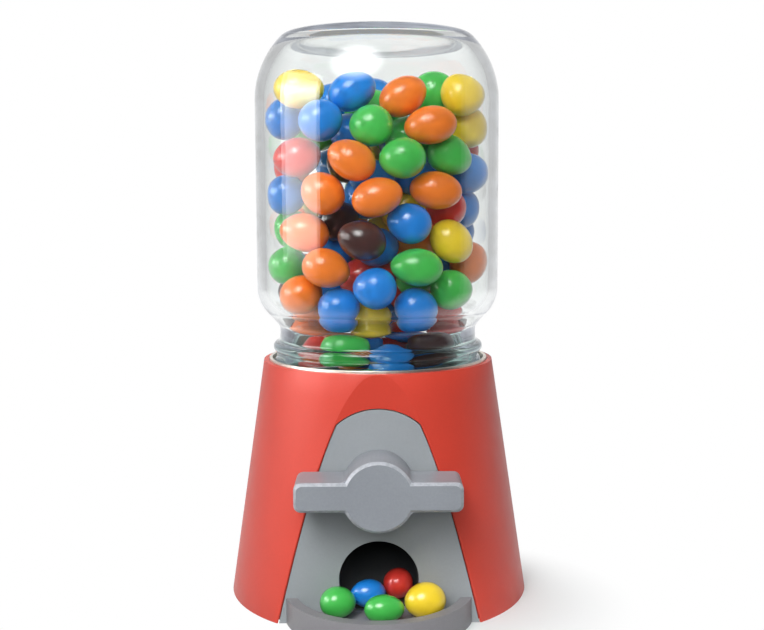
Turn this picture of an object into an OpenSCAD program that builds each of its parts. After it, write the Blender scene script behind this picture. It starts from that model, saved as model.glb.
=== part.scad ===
// Candy dispenser: an upturned glass jar of sugar-coated candies on a tapered base.
// A winged knob turns a drum with one pocket, which drops the candies down a chute
// into the tray. The front is -Y, the jar's axis is Z, and the table is at z = 0.

/* [Base] */
// Height of the base, from the table to its rim
base_h = 92.5; // [91:0.5:100]
// Radius of the base at the table
base_foot_r = 59; // [57:0.5:64]
// Thickness of the base's wall, measured level
base_wall = 2.4; // [1.8:0.1:3.2]
// Thickness of the base's wall round the jar's collar
rim_wall = 1.9; // [1.5:0.1:3]
// Thickness of the deck that carries the jar
deck_t = 3; // [2.4:0.1:4]
// Thickness of the bottom plate
plate_t = 2.4; // [2:0.1:3.2]

/* [Front panel] */
// Thickness of the front panel
panel_t = 3.6; // [3:0.1:4.4]
// Radius of the panel's arched top
arch_r = 22.7; // [20:0.1:24]
// Distance of the arch's centre above the knob's axis
arch_rise = 4.6; // [2:0.1:6]
// Gap round the panel
panel_gap = 0.4; // [0.2:0.1:0.6]
// Thickness of the frame that the panel seats on
seat_t = 2.4; // [2:0.1:3.2]
// Radius of the chute's mouth in the panel
mouth_r = 14.7; // [13:0.1:15.5]
// Height of the centre of the chute's mouth
mouth_z = 16.2; // [16:0.1:18]

/* [Tray] */
// Width of panel left beside each end of the tray
tray_margin = 3.2; // [2:0.1:5]
// How far the tray stands out from the panel
tray_reach = 26.4; // [24:0.1:30]
// Thickness of the tray's wall
tray_wall = 4; // [3:0.1:5]
// Height of the tray's rim
tray_h = 9.6; // [8:0.1:13]
// Thickness of the tray's floor
tray_floor = 4.2; // [3:0.1:5]

/* [Knob] */
// Distance of the knob's axis below the base's rim
axis_drop = 40.1; // [39.5:0.1:42]
// Radius of the knob's hub
hub_r = 12.7; // [11:0.1:14]
// Length of the knob, from its back to its front
knob_l = 19.6; // [16:0.1:24]
// Distance from the knob's axis to the end of a wing
wing_reach = 29.6; // [25:0.1:34]
// Width of a wing
wing_w = 10.5; // [8:0.1:12]
// How far the wings stay clear of the panel
wing_clear = 2.4; // [1.5:0.1:4]
// Chamfer round the knob's front face
knob_chamfer = 1; // [0.6:0.1:1.5]
// Running gap between the knob and the panel
knob_gap = 0.4; // [0.3:0.1:0.8]

/* [Drum] */
// Radius of the dispensing drum
drum_r = 19; // [18:0.1:19.5]
// Length of the dispensing drum
drum_l = 26; // [24:0.5:28]
// Distance of the drum's middle in front of the jar's axis
drum_y = 6; // [4:0.5:8]
// Running clearance round the drum
drum_fit = 0.4; // [0.3:0.05:0.6]
// Radius of the drum's pocket
pocket_r = 11; // [10:0.1:11.5]
// How far the pocket's floor lies below the drum's axis
pocket_sink = 7; // [5:0.5:8]
// Thickness of the housing's wall
housing_wall = 2.8; // [2.4:0.1:3.4]
// Radius of the shaft
shaft_r = 4; // [3:0.1:5]
// Running clearance of the shaft in its bushes
shaft_fit = 0.06; // [0.03:0.01:0.1]
// Wall of the shaft's bushes
bush_wall = 2; // [1.5:0.1:2.5]

/* [Chute] */
// Inner width of the chute's trough
trough_w = 28.8; // [26:0.1:29]
// Round between the trough's floor and its sides
trough_round = 6; // [3:0.5:8]
// Wall of the trough
trough_wall = 1.8; // [1.4:0.1:2.4]
// Slope of the trough, in degrees
trough_slope = 20; // [16:1:22]

/* [Jar] */
// Outer radius of the jar's body
jar_r = 47.5; // [46:0.1:50]
// Height of the jar, from its lip to its base
jar_h = 132.4; // [120:0.1:150]
// Thickness of the glass
glass_t = 3.6; // [3:0.1:4.2]
// Outer radius of the jar's finish at the lip
finish_r = 39.4; // [39:0.1:40]
// Outer radius of the neck
neck_r = 38.8; // [38:0.1:39.4]
// Outer radius of the bead above the collar
bead_r = 41.5; // [40.5:0.1:42.5]
// Outer radius of the collar that the jar screws into
collar_r = 43.2; // [43:0.1:45]
// Thickness of the collar's wall
collar_wall = 1.3; // [1:0.1:1.6]
// How far the collar stands above the base's rim
collar_proud = 0.9; // [0.3:0.1:2]
// Thickness of the sealing ring
gasket_t = 1; // [0.8:0.1:2]

/* [Candies] */
// Radius of a ball as large as a candy
candy_size = 7.8; // [7.2:0.1:7.8]
// Longest radius of a candy
candy_long = 9.7; // [9.6:0.1:9.8]
// Height of the top of the candies above the jar's lip
pile_h = 117; // [90:1:118]
// Gap between two candies
candy_gap = 0.25; // [0.2:0.05:0.5]
// Gap between a candy and the glass
glass_fit = 0.35; // [0.3:0.05:0.5]
// Seed of the pile
pile_seed = 11; // [1:1:99]

/* [Hidden] */

fine = 128;           // facets of a large round
small = 48;           // facets of a small round
eps = 0.01;
far = 300;            // larger than the whole object

over = 1;             // how far a cut runs past a face
seat_fit = 0.2;       // play of a seated piece
press_fit = 0.02;     // play of two pieces that are pressed together
plate_fit = 0.3;      // play round the bottom plate and the sealing ring
rim_r = collar_r + seat_fit + rim_wall;
facet = rim_r;        // the flat front is tangent to the rim
seat_y = panel_t + seat_t;
axis_z = base_h - axis_drop;
arch_z = axis_z + arch_rise;
function shell_r(z) = base_foot_r - (base_foot_r - rim_r) * z / base_h;

// screws
screw_r = 1.2;
pilot_r = 1.25;       // hole that a screw bites into
clear_r = 1.4;        // hole that a screw passes through
head_r = 2.6;
head_t = 1.4;
head_room = 0.3;      // play round a screw's head
slot_l = 3.12;        // cross slot in a screw's head
slot_w = 0.7;
slot_depth = 0.7;

// heap of candies
funnel_fit = 0.6;     // gap between a candy and the funnel
push_step = 0.1;
most_pushes = 60;
candy_facets = 36;
most_tilt = 25;       // degrees that the long axis of a candy in the heap can slope
wall_share = 0.5;     // part of the tried places that are against the glass
own = 4;              // random numbers for a candy itself, before three for each place
seed_step = 1000;     // keeps the random numbers of two seeds apart
tries = 14;           // places that are tried for each candy
drops = 120;          // candies that are dropped, of which some find no room
colour_share = [0.28, 0.51, 0.72, 0.83, 0.92, 1];   // running totals: orange, blue, green, yellow, red, brown

// levels under the jar
collar_flange_t = 1;
hopper_t = 2.4;
lip_recess = 6.3;
lip_z = base_h - lip_recess;
gasket_z = lip_z - gasket_t;
flange_z = gasket_z - collar_flange_t;
deck_z = flange_z - hopper_t;
finish_extra = 0.4;   // the jar's finish is this much thicker than its wall
deck_hole_room = 2.2; // gap round the funnel in the deck
mouth_in_r = finish_r - glass_t - finish_extra;
deck_hole_r = mouth_in_r + deck_hole_room;

// drum and housing
drum_front = -drum_y - drum_l / 2;
drum_back = -drum_y + drum_l / 2;
bore_r = drum_r + drum_fit;
end_gap = 0.5;        // gap at each end of the drum
housing_r = bore_r + housing_wall;
housing_top = axis_z + housing_r;
cap_t = 3;
cap_front = drum_front - end_gap - cap_t;
housing_front = drum_front - end_gap;
housing_back = drum_back + end_gap + housing_wall;
inlet_room = 1;       // the inlet is wider than the pocket by this
inlet_r = pocket_r + inlet_room;
flange_x = 46;
flange_y = drum_l + 2 * end_gap;
flange_t = 2.4;
flange_round = 4;
cheek_w = 32;         // width of the block between the housing and its flange
lug_r = 3.6;
lug_out = 0.8;        // a lug's axis lies this far outside the housing
lug_at = housing_r + lug_out;
lug_l = 10;
boss_wall = 4;
boss_r = shaft_r + boss_wall;
boss_l = 10;
boss_fit = 0.6;
shaft_sunk = 8;       // how far the shaft reaches into the drum
shaft_end = drum_front - boss_l + shaft_sunk;
rear_boss_l = 3;      // boss round the rear bush
rear_boss_wall = 3;
spigot_out = 6;       // how far the drum's spigot stands out of the housing
spigot_end = housing_back + spigot_out;
pin_r = 1.5;

// knob
knob_back = -facet - knob_gap;
knob_front = knob_back - knob_l;
socket_wall = 3;

// base plate and its bosses
boss_inset = 9;       // from the foot's edge to a boss's axis
boss_at = base_foot_r - boss_inset;
base_boss_r = 4.5;
base_boss_h = 18;
base_boss_roof = 3;   // solid end of a boss above its hole
base_screw_l = 10;
boss_angles = [32, 148, 216, 324];

module half_space_behind(y) translate([-far, y, -far]) cube([2 * far, far, 2 * far]);
module along_y(y0, y1, r, z = axis_z, x = 0, f = small)
    translate([x, y0, z]) rotate([-90, 0, 0]) cylinder(h = y1 - y0, r = r, $fn = f);
module ring_z(z0, z1, r_in, r_out) translate([0, 0, z0]) difference() {
    cylinder(h = z1 - z0, r = r_out, $fn = fine);
    translate([0, 0, -over]) cylinder(h = z1 - z0 + 2 * over, r = r_in, $fn = fine);
}
module round_plate(x, y, t, r) linear_extrude(t) {
    square([x - 2 * r, y], center = true);
    square([x, y - 2 * r], center = true);
    for (sx = [-1, 1], sy = [-1, 1]) translate([sx * (x / 2 - r), sy * (y / 2 - r)]) circle(r, $fn = small);
}

// a pan-head screw along -Z from its head: the shank points down
module screw(l) {
    translate([0, 0, -l]) cylinder(h = l + eps, r = screw_r, $fn = small);
    difference() {
        cylinder(h = head_t, r = head_r, $fn = small);
        for (a = [0, 90]) rotate(a) translate([-slot_l / 2, -slot_w / 2, head_t - slot_depth])
            cube([slot_l, slot_w, head_t]);
    }
}
module screw_up(l) rotate([180, 0, 0]) screw(l);
module screw_front(l) rotate([-90, 0, 0]) screw(l);

// ---- front panel -------------------------------------------------------
panel_steps = 14;
edge_inset = 0.5;     // width of the red edge left beside the panel
function facet_half(z) = sqrt(max(0.01, pow(shell_r(z), 2) - facet * facet));
function panel_points(grow, top) = [
    for (i = [0 : panel_steps]) let (z = top * i / panel_steps) [facet_half(z) - edge_inset + grow, z],
    for (i = [panel_steps : -1 : 0]) let (z = top * i / panel_steps) [-facet_half(z) + edge_inset - grow, z]
];
// grow widens the outline, reach carries it below the table
module panel_outline(grow) intersection() {
    union() {
        polygon(panel_points(grow - panel_gap, arch_z + arch_r + panel_gap));
        translate([-facet_half(0) + edge_inset - grow + panel_gap, -2 * over])
            square([2 * (facet_half(0) - edge_inset + grow - panel_gap), 2 * over + eps]);
    }
    union() {
        translate([0, arch_z]) circle(arch_r + grow, $fn = fine);
        translate([-far / 2, -far]) square([far, far + arch_z]);
    }
}
// a solid of the outline from y0 back to y1
module panel_slab(y0, y1, grow) translate([0, y1, 0]) rotate([90, 0, 0])
    linear_extrude(y1 - y0) panel_outline(grow);

panel_front_y = -facet;
panel_back_y = -facet + panel_t;
seat_back_y = -facet + seat_y;
window_inset = 6;
panel_skin = 0.8;     // left in front of a screw hole
panel_screw_z = [18, 60];
function panel_screw_x(z) = facet_half(z) - edge_inset - (window_inset + panel_gap) / 2;
// the tray's round passes through its front and its two corners on the panel
tray_half = facet_half(0) - edge_inset - tray_margin;
tray_r = (tray_half * tray_half + tray_reach * tray_reach) / (2 * tray_reach);
tray_bite = 2.4;      // how far a screw reaches into the tray
tray_hole_l = 2.8;
tray_screw_in = 2;    // how far from the panel a screw is in the middle of the curved wall
tray_screw_x = sqrt(pow(tray_r - tray_wall / 2, 2) - pow(tray_r - tray_reach + tray_screw_in, 2));
tray_screw_z = 4.6;

module above_table() translate([-far, -far, 0]) cube([2 * far, 2 * far, far]);

module base_shell() color("#d8483c") difference() {
    union() {
        difference() {
            intersection() {
                cylinder(h = base_h, r1 = base_foot_r, r2 = rim_r, $fn = fine);
                half_space_behind(-facet);
            }
            intersection() {
                translate([0, 0, -over])
                    cylinder(h = deck_z - deck_t + over, r1 = shell_r(-over) - base_wall,
                        r2 = shell_r(deck_z - deck_t) - base_wall, $fn = fine);
                half_space_behind(seat_back_y);
            }
        }
        // screw bosses, against the inside of the wall
        intersection() {
            for (a = boss_angles) rotate(a) translate([boss_at, 0, plate_t])
                cylinder(h = base_boss_h, r = base_boss_r, $fn = small);
            cylinder(h = base_h, r1 = base_foot_r - base_wall / 2, r2 = rim_r - base_wall / 2, $fn = fine);
        }
    }
    // socket for the collar, and the hopper's hole in the deck
    translate([0, 0, deck_z]) cylinder(h = far, r = collar_r + seat_fit, $fn = fine);
    cylinder(h = far, r = deck_hole_r, $fn = fine);
    // recess for the panel, and the window behind it
    panel_slab(-facet - over, panel_back_y, panel_gap);
    panel_slab(-facet - over, seat_back_y + over, -window_inset);
    for (a = boss_angles) rotate(a) translate([boss_at, 0, plate_t - over])
        cylinder(h = base_boss_h - base_boss_roof + over, r = pilot_r, $fn = small);
    for (a = collar_angles) rotate(a) translate([collar_screw_at, 0, deck_z - far / 2])
        cylinder(h = far, r = pilot_r, $fn = small);
    for (z = panel_screw_z, s = [-1, 1])
        along_y(panel_back_y - over, seat_back_y + over, clear_r, z, s * panel_screw_x(z));
    // room for the heads of the tray's screws
    for (s = [-1, 1])
        along_y(panel_back_y, seat_back_y + over, head_r + head_room, tray_screw_z, s * tray_screw_x);
}

collar_angles = [45, 135, 225, 315];
collar_screw_at = (deck_hole_r + collar_r - collar_wall) / 2;

module front_panel() color("#969ba0") difference() {
    intersection() {
        panel_slab(panel_front_y, panel_back_y, 0);
        above_table();
    }
    // the chute's mouth, cut level with the tray's floor
    intersection() {
        along_y(-facet - over, panel_back_y + over, mouth_r, mouth_z, 0, fine);
        translate([-far, -far, tray_floor]) cube(2 * far);
    }
    along_y(-facet - over, panel_back_y + over, shaft_r + bush_wall + press_fit);
    for (z = panel_screw_z, s = [-1, 1])
        along_y(panel_front_y + panel_skin, panel_back_y + over, pilot_r, z, s * panel_screw_x(z));
    for (s = [-1, 1]) along_y(-facet - over, panel_back_y + over, clear_r, tray_screw_z, s * tray_screw_x);
}

// ---- tray --------------------------------------------------------------
tray_cy = -facet - tray_reach + tray_r;   // centre of the tray's round
module candy_tray() color("#8f9398") difference() {
    intersection() {
        translate([0, tray_cy, 0]) cylinder(h = tray_h, r = tray_r, $fn = fine);
        translate([-far, -facet - far, 0]) cube([2 * far, far, far]);
    }
    translate([0, tray_cy, tray_floor]) cylinder(h = tray_h, r = tray_r - tray_wall, $fn = fine);
    for (s = [-1, 1])
        along_y(-facet - tray_hole_l, -facet + over, pilot_r, tray_screw_z, s * tray_screw_x);
}

// ---- chute -------------------------------------------------------------
trough_l = 62;
trough_over = 20;     // how far the trough's section runs past each end before it is trimmed
trough_back_y = drum_back + 3;
trough_side = 26;
leg_w = 10;
leg_t = 3;
leg_y = drum_back - 6;
foot_y = leg_y + leg_t / 2;
foot_l = 30;
foot_w = 9;
foot_t = 2.4;
foot_round = 2;
chute_screw_l = 4.4;
// height of the trough's floor inside, at a distance y
function trough_z(y) = tray_floor + (y + facet) * tan(trough_slope);
// a channel open at the top, its floor's inside at height 0
module trough_section(grow, top) {
    half = trough_w / 2 + grow;
    round = trough_round + grow;
    translate([0, trough_round]) {
        for (s = [-1, 1]) translate([s * (half - round), 0]) circle(round, $fn = small);
        translate([round - half, -round]) square([2 * (half - round), round]);
        translate([-half, 0]) square([2 * half, top - trough_round]);
    }
}
module along_trough() translate([0, -facet, tray_floor])
    rotate([90 + trough_slope, 0, 0]) mirror([0, 0, 1]) translate([0, 0, -trough_over])
        linear_extrude(trough_l + trough_over) children();
module chute() color("#7d8186") difference() {
    union() {
        intersection() {
            along_trough() trough_section(trough_wall, trough_side);
            translate([-far, panel_back_y, plate_t]) cube([2 * far, trough_back_y - panel_back_y, far]);
        }
        // leg and foot that stand on the bottom plate
        translate([-leg_w / 2, leg_y, plate_t]) cube([leg_w, leg_t, trough_z(leg_y) - plate_t]);
        translate([0, foot_y, plate_t]) round_plate(foot_l, foot_w, foot_t, foot_round);
    }
    along_trough() trough_section(0, trough_side + trough_over);
    // room under the housing
    translate([-far, -far, chute_top]) cube([2 * far, 2 * far, far]);
    for (s = [-1, 1]) translate([s * chute_screw_x, foot_y, 0])
        cylinder(h = plate_t + foot_t + over, r = clear_r, $fn = small);
}
chute_screw_x = 11;
chute_room = 0.4;     // gap between the chute and the housing
chute_top = axis_z - housing_r - chute_room;

// ---- bottom plate ------------------------------------------------------
plate_r = shell_r(plate_t) - base_wall - plate_fit;
module base_plate() color("#8f9398") difference() {
    intersection() {
        cylinder(h = plate_t, r = plate_r, $fn = fine);
        half_space_behind(seat_back_y + plate_fit);
    }
    for (a = boss_angles) rotate(a) translate([boss_at, 0, 0]) {
        translate([0, 0, -over]) cylinder(h = plate_t + 2 * over, r = clear_r, $fn = small);
        translate([0, 0, -over]) cylinder(h = over + head_t, r = head_r + head_room, $fn = small);
    }
    for (s = [-1, 1]) translate([s * chute_screw_x, foot_y, -over])
        cylinder(h = plate_t + 2 * over, r = pilot_r, $fn = small);
}
module base_screws() color("silver") for (a = boss_angles) rotate(a)
    translate([boss_at, 0, head_t]) screw_up(base_screw_l);
module chute_screws() color("silver") for (s = [-1, 1])
    translate([s * chute_screw_x, foot_y, plate_t + foot_t]) screw(chute_screw_l);
module panel_screws() color("silver") for (z = panel_screw_z, s = [-1, 1])
    translate([s * panel_screw_x(z), seat_back_y, z]) screw_front(seat_t + panel_t - panel_skin - panel_gap);
module tray_screws() color("silver") for (s = [-1, 1])
    translate([s * tray_screw_x, panel_back_y, tray_screw_z]) screw_front(panel_t + tray_bite);

// ---- hopper ------------------------------------------------------------
funnel_top_r = mouth_in_r + drum_y;
funnel_h = flange_z - housing_top;
funnel_wall = 7;      // measured level
spout_wall = 1.8;
module funnel(grow, r, z0) intersection() {
    translate([0, -drum_y, z0])
        cylinder(h = funnel_h + eps, r1 = inlet_r + grow, r2 = funnel_top_r + grow, $fn = fine);
    translate([0, 0, housing_top - over]) cylinder(h = funnel_h + 3 * over, r = r, $fn = fine);
}
module hopper() color("#c9cbc8") difference() {
    union() {
        translate([0, 0, deck_z]) cylinder(h = hopper_t, r = collar_r, $fn = fine);
        intersection() {
            funnel(funnel_wall, mouth_in_r + spout_wall, housing_top - eps / 2);
            translate([-far, -far, housing_top]) cube([2 * far, 2 * far, funnel_h]);
        }
        translate([0, -drum_y, housing_top]) round_plate(flange_x, flange_y, flange_t, flange_round);
    }
    funnel(0, mouth_in_r, housing_top);
    translate([0, -drum_y, housing_top - over]) cylinder(h = 2 * over, r = inlet_r, $fn = fine);
    for (a = collar_angles) rotate(a) translate([collar_screw_at, 0, 0])
        cylinder(h = far, r = clear_r, $fn = small);
    for (p = flange_screws) translate([p.x, p.y, housing_top - over])
        cylinder(h = over + flange_t, r = pilot_r, $fn = small);
}
flange_screw_in = 3.5;    // from the flange's edges to a screw's axis
flange_bite = 2;          // how far a screw reaches into the hopper's flange
flange_screws = [for (sx = [-1, 1], sy = [-1, 1])
    [sx * (flange_x / 2 - flange_screw_in), -drum_y + sy * (flange_y / 2 - flange_screw_in)]];
module housing_screws() color("silver") for (p = flange_screws)
    translate([p.x, p.y, housing_top - flange_t]) screw_up(flange_t + flange_bite);

// ---- drum housing ------------------------------------------------------
lug_angles = [30, 150, 210, 330];
lug_bite = 6;         // how far a screw reaches into a lug
module at_lugs() for (a = lug_angles) translate([lug_at * cos(a), 0, lug_at * sin(a)]) children();
module drum_housing() color("#5f6469") difference() {
    union() {
        along_y(housing_front, housing_back, housing_r, f = fine);
        translate([0, -drum_y, housing_top - flange_t])
            round_plate(flange_x, flange_y, flange_t, flange_round);
        translate([-cheek_w / 2, housing_front, axis_z])
            cube([cheek_w, housing_back - housing_front, housing_top - axis_z - eps]);
        along_y(housing_back - eps, housing_back + rear_boss_l, shaft_r + bush_wall + rear_boss_wall);
        at_lugs() along_y(housing_front, housing_front + lug_l, lug_r);
    }
    along_y(housing_front - over, drum_back + end_gap, bore_r, f = fine);
    along_y(drum_back, far, shaft_r + bush_wall + press_fit);
    translate([0, -drum_y, axis_z]) cylinder(h = far, r = inlet_r, $fn = fine);
    translate([0, -drum_y, axis_z - far]) cylinder(h = far, r = inlet_r, $fn = fine);
    for (p = flange_screws) translate([p.x, p.y, housing_top - flange_t - over])
        cylinder(h = flange_t + 2 * over, r = clear_r, $fn = small);
    at_lugs() along_y(housing_front - over, housing_front + lug_bite + over, pilot_r);
}
module housing_cap() color("#5f6469") difference() {
    union() {
        along_y(cap_front, housing_front, housing_r, f = fine);
        at_lugs() along_y(cap_front, housing_front, lug_r);
    }
    along_y(cap_front - over, housing_front + over, boss_r + boss_fit);
    at_lugs() along_y(cap_front - over, housing_front + over, clear_r);
}
module cap_screws() color("silver") at_lugs() translate([0, cap_front, axis_z])
    rotate([180, 0, 0]) screw_front(cap_t + lug_bite);

// ---- shaft train -------------------------------------------------------
bush_flange_t = 1.5;
bush_flange_w = 1.8;
// a bush from y0 back to its flange, which starts at y1
module bush(y0, y1) color("#e8e4da") difference() {
    union() {
        along_y(y0, y1 + bush_flange_t, shaft_r + bush_wall);
        along_y(y1, y1 + bush_flange_t, shaft_r + bush_wall + bush_flange_w);
    }
    along_y(y0 - over, y1 + bush_flange_t + over, shaft_r + shaft_fit);
}
module front_bush() bush(panel_front_y, panel_back_y);
module rear_bush() bush(drum_back + end_gap, housing_back + rear_boss_l);

module dispensing_drum() color("#e4e2dc") difference() {
    union() {
        along_y(drum_front, drum_back, drum_r, f = fine);
        along_y(drum_front - boss_l, drum_front + eps, boss_r);
        along_y(drum_back - eps, spigot_end, shaft_r);
    }
    translate([0, -drum_y, axis_z - pocket_sink]) cylinder(h = far, r = pocket_r, $fn = fine);
    along_y(drum_front - boss_l - over, shaft_end + press_fit, shaft_r + press_fit);
    pin_hole();
    // groove for the clip
    difference() {
        along_y(clip_y, clip_y + clip_t, shaft_r + over);
        along_y(clip_y - over, clip_y + clip_t + over, shaft_r - clip_groove);
    }
}
module pin_hole() translate([0, drum_front - boss_l / 2, axis_z - boss_r - over])
    cylinder(h = 2 * (boss_r + over), r = pin_r + press_fit, $fn = small);

washer_t = 0.8;
washer_w = 3;         // width of the washer's ring
washer_fit = 0.1;
washer_gap = 0.2;     // end play of the drum
clip_t = 1;
clip_groove = 0.8;
clip_w = 2;           // how far the clip stands out of its groove
clip_side = 0.05;     // play beside the clip in its groove
clip_mouth = 3.2;     // opening of the clip
washer_y = housing_back + rear_boss_l + bush_flange_t + washer_gap;
clip_y = washer_y + washer_t + washer_fit;
module thrust_washer() color("silver") difference() {
    along_y(washer_y, washer_y + washer_t, shaft_r + washer_w);
    along_y(washer_y - over, washer_y + washer_t + over, shaft_r + washer_fit);
}
module retaining_clip() color("silver") difference() {
    along_y(clip_y + clip_side, clip_y + clip_t - clip_side, shaft_r + clip_w);
    along_y(clip_y - over, clip_y + clip_t + over, shaft_r - clip_groove + press_fit);
    translate([-clip_mouth / 2, clip_y - over, axis_z - shaft_r - clip_w - over])
        cube([clip_mouth, clip_t + 2 * over, shaft_r + clip_w + over]);
}

pin_short = 0.4;      // how far the pin's ends lie under the drum's boss
set_screw_in = 6;     // from the knob's back to the set screw's axis
set_screw_r = 1.5;
set_screw_sink = 1.5; // how far the screw's end lies under the hub
set_socket_r = 0.8;
set_socket_depth = 1.5;
set_flat_l = 5;       // flat on the shaft for the set screw
set_flat_depth = 0.6;
set_screw_y = knob_back - set_screw_in;
module drum_shaft() color("silver") difference() {
    along_y(knob_front + socket_wall + press_fit, shaft_end, shaft_r);
    pin_hole();
    translate([-shaft_r, set_screw_y - set_flat_l / 2, axis_z - shaft_r - over])
        cube([2 * shaft_r, set_flat_l, over + set_flat_depth]);
}
module drum_pin() color("silver") translate([0, drum_front - boss_l / 2, axis_z - boss_r + pin_short])
    cylinder(h = 2 * (boss_r - pin_short), r = pin_r, $fn = small);
module knob_set_screw() color("silver")
    translate([0, set_screw_y, axis_z - hub_r + set_screw_sink]) difference() {
        cylinder(h = hub_r - set_screw_sink - shaft_r + set_flat_depth, r = set_screw_r, $fn = small);
        translate([0, 0, -over]) cylinder(h = over + set_socket_depth, r = set_socket_r, $fn = 6);
    }

// ---- knob --------------------------------------------------------------
wing_facets = 32;
wing_round = 2.6;
wing_fillet = 3;
wing_l = knob_l - wing_clear - knob_chamfer;   // length of a wing behind its chamfer
module square_round(x, y, r) {
    square([x - 2 * r, y], center = true);
    square([x, y - 2 * r], center = true);
    for (sx = [-1, 1], sy = [-1, 1]) translate([sx * (x / 2 - r), sy * (y / 2 - r)])
        circle(r, $fn = wing_facets);
}
// material between a wing and the hub, as a concave round
fillet_x = sqrt(pow(hub_r + wing_fillet, 2) - pow(wing_w / 2 + wing_fillet, 2));
module wing_fillets() for (sx = [-1, 1], sy = [-1, 1]) scale([sx, sy]) difference() {
    polygon([[0, 0], [fillet_x, 0], [fillet_x, wing_w / 2], [fillet_x, wing_w / 2 + wing_fillet]]);
    translate([fillet_x, wing_w / 2 + wing_fillet]) circle(wing_fillet, $fn = small);
}
module forward(y, h) translate([0, y, axis_z]) rotate([90, 0, 0]) linear_extrude(h) children();
module knob() color("#8f9398") difference() {
    union() {
        along_y(knob_front + knob_chamfer, knob_back, hub_r, f = fine);
        translate([0, knob_front + knob_chamfer + eps, axis_z]) rotate([90, 0, 0])
            cylinder(h = knob_chamfer + eps, r1 = hub_r, r2 = hub_r - knob_chamfer, $fn = fine);
        hull() {
            forward(knob_back - wing_clear, wing_l) square_round(2 * wing_reach, wing_w, wing_round);
            forward(knob_front + knob_chamfer, knob_chamfer)
                square_round(2 * (wing_reach - knob_chamfer), wing_w - 2 * knob_chamfer,
                    wing_round - knob_chamfer / 2);
        }
        forward(knob_back - wing_clear, wing_l) wing_fillets();
    }
    along_y(knob_front + socket_wall, knob_back + over, shaft_r + press_fit);
    translate([0, set_screw_y, axis_z - hub_r - over])
        cylinder(h = hub_r, r = set_screw_r + press_fit, $fn = small);
}

// ---- collar, seal and jar ----------------------------------------------
collar_flange_in = 0.8;   // how far the collar's flange stays outside the jar's mouth
gasket_in = 0.4;          // the same for the sealing ring
low_head_fit = 0.1;       // play round and above a low screw head
deck_bite = 2.6;          // how far a screw reaches into the deck
module jar_collar() color("#cfc3b4") difference() {
    union() {
        ring_z(flange_z, base_h + collar_proud, collar_r - collar_wall, collar_r);
        ring_z(flange_z, gasket_z, mouth_in_r + collar_flange_in, collar_r - eps);
    }
    for (a = collar_angles) rotate(a) translate([collar_screw_at, 0, 0])
        cylinder(h = far, r = head_r + low_head_fit, $fn = small);
}
module collar_screws() color("silver") for (a = collar_angles) rotate(a)
    translate([collar_screw_at, 0, flange_z]) low_screw(hopper_t + deck_bite);
module low_screw(l) {
    translate([0, 0, -l]) cylinder(h = l + eps, r = screw_r, $fn = small);
    cylinder(h = collar_flange_t - low_head_fit, r = head_r, $fn = small);
}
module jar_gasket() color("#d8d2c6")
    ring_z(gasket_z, lip_z, mouth_in_r + gasket_in, collar_r - collar_wall - plate_fit);

heel_r = 35;          // large round at the jar's closed end
heel_sweep = 44;      // degrees of it
inner_sweep = 30;
inner_toe_r = 8;
toe_r = 4;            // small round between the heel and the standing ring
shoulder_r = 15;
shoulder_sweep = 48;
punt = 3.5;           // depth of the hollow in the jar's base
function arc(cx, cz, r, a0, a1, n) = [for (i = [0 : n]) let (a = a0 + (a1 - a0) * i / n)
    [cx + r * cos(a), cz + r * sin(a)]];
jar_top = lip_z + jar_h;
// the heel's centre lies so low that heel and toe end at the jar's top
heel_z = jar_top - (heel_r - toe_r) * sin(heel_sweep) - toe_r;
heel_x = jar_r - heel_r;
toe_x = heel_x + (heel_r - toe_r) * cos(heel_sweep);
toe_z = heel_z + (heel_r - toe_r) * sin(heel_sweep);
shoulder_x = jar_r - shoulder_r;
bead_rise = 11.4;     // from the lip to the bead's middle
bead_round = 2.2;
bead_edge = 60;       // degrees of the bead's round above and below its middle
bead_under = 3.4;     // from the bead's middle down to the straight finish
bead_over = 3.6;      // from the bead's middle up to the neck
neck_h = 18;          // from the lip to the top of the neck
shoulder_h = 17;      // from there to the straight body
neck_fillet = 4.6;
lip_round = 1.3;
lip_flat = 0.9;       // width of the lip's sealing face
lip_in_h = 2.6;       // height of the round inside the lip
ring_flat = 0.5;      // width of the standing ring
ring_round = 38;      // degrees of the round inside the standing ring
punt_edge = 9;        // width of the standing ring with its rounds
bead_z = lip_z + bead_rise;
neck_top = lip_z + neck_h;
shoulder_z = neck_top + shoulder_h;
inner_heel_r = heel_r - glass_t;
function outer_profile() = concat(
    arc(finish_r - lip_round, lip_z + lip_round, lip_round, -90, 0, 4),
    [[finish_r, bead_z - bead_under]],
    arc(bead_r - bead_round, bead_z, bead_round, -bead_edge, bead_edge, 6),
    [[neck_r, bead_z + bead_over]],
    arc(neck_r + neck_fillet, neck_top, neck_fillet, 180, 180 - shoulder_sweep, 4),
    arc(shoulder_x, shoulder_z, shoulder_r, -shoulder_sweep, 0, 8),
    arc(heel_x, heel_z, heel_r, 0, heel_sweep, 10),
    arc(toe_x, toe_z, toe_r, heel_sweep, 90, 4),
    arc(toe_x - ring_flat, toe_z, toe_r, 90, 90 + ring_round, 3),
    [[toe_x - punt_edge, jar_top - punt], [0, jar_top - punt]]
);
function inner_profile() = concat(
    arc(finish_r - lip_round - lip_flat, lip_z + lip_round, lip_round, 270, 200, 3),
    [[mouth_in_r, lip_z + lip_in_h], [mouth_in_r, neck_top]],
    arc(shoulder_x, shoulder_z, shoulder_r - glass_t, -shoulder_sweep, 0, 8),
    arc(heel_x, heel_z, inner_heel_r, 0, inner_sweep, 8),
    arc(heel_x + (inner_heel_r - inner_toe_r) * cos(inner_sweep),
        heel_z + (inner_heel_r - inner_toe_r) * sin(inner_sweep), inner_toe_r, inner_sweep, 90, 6),
    [[0, jar_top - punt - glass_t]]
);
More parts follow.
